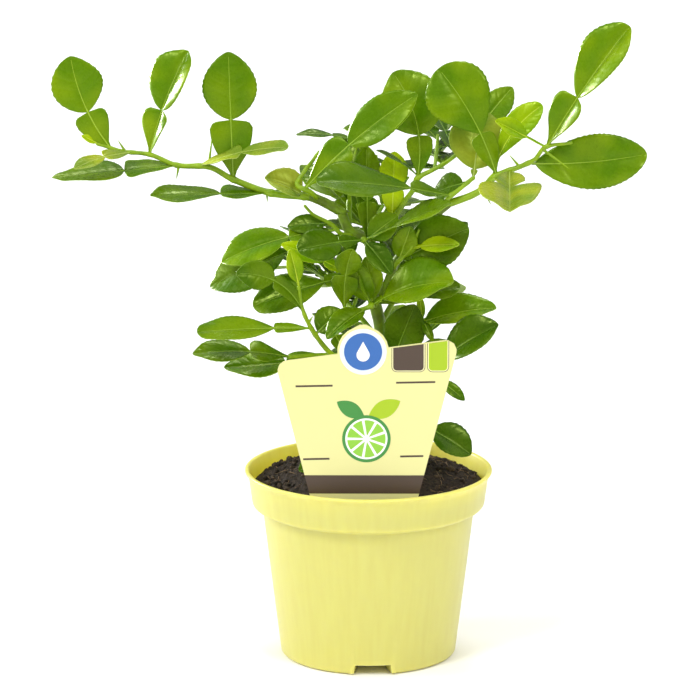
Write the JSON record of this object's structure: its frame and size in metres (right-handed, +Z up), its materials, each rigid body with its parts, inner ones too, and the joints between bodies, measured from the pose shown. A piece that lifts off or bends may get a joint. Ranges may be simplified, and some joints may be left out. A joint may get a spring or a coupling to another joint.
{
  "type": "potted kaffir lime tree",
  "caption": "Young kaffir lime tree with winged double leaves and thorns, growing in a small round plastic pot of dark soil with a plant label.",
  "frame": {"origin": "middle of the pot's flat underside, at the surface that it stands on", "axes": "+Z up along the pot's axis, -Y towards the viewer whom the label faces, +X to that viewer's right"},
  "size_m": [0.2841, 0.1436, 0.3136],
  "materials": {
    "pot": "satin moulded plastic, pale yellow",
    "soil": "loose dark peat",
    "label": "printed plastic card",
    "bark": "young green and brown bark",
    "foliage": "glossy leaves on green twigs"
  },
  "bodies": {
    "root": {"pot": "pot", "soil": "soil", "label": "label", "trunk": "bark", "left_bough": "bark", "right_bough": "bark", "upper_right_bough": "bark", "leader_bough": "bark", "left_arm_foliage": "foliage", "left_upper_foliage": "foliage", "left_inner_foliage": "foliage", "left_lower_foliage": "foliage", "young_shoot_foliage": "foliage", "lower_left_foliage": "foliage", "foot_left_foliage": "foliage", "centre_foliage": "foliage", "front_foliage": "foliage", "centre_upper_foliage": "foliage", "top_foliage": "foliage", "right_centre_foliage": "foliage", "right_arm_foliage": "foliage", "right_inner_foliage": "foliage", "lower_right_foliage": "foliage", "foot_right_foliage": "foliage", "back_high_foliage": "foliage", "back_right_foliage": "foliage", "back_left_foliage": "foliage", "back_low_foliage": "foliage"}
  },
  "joints": []
}
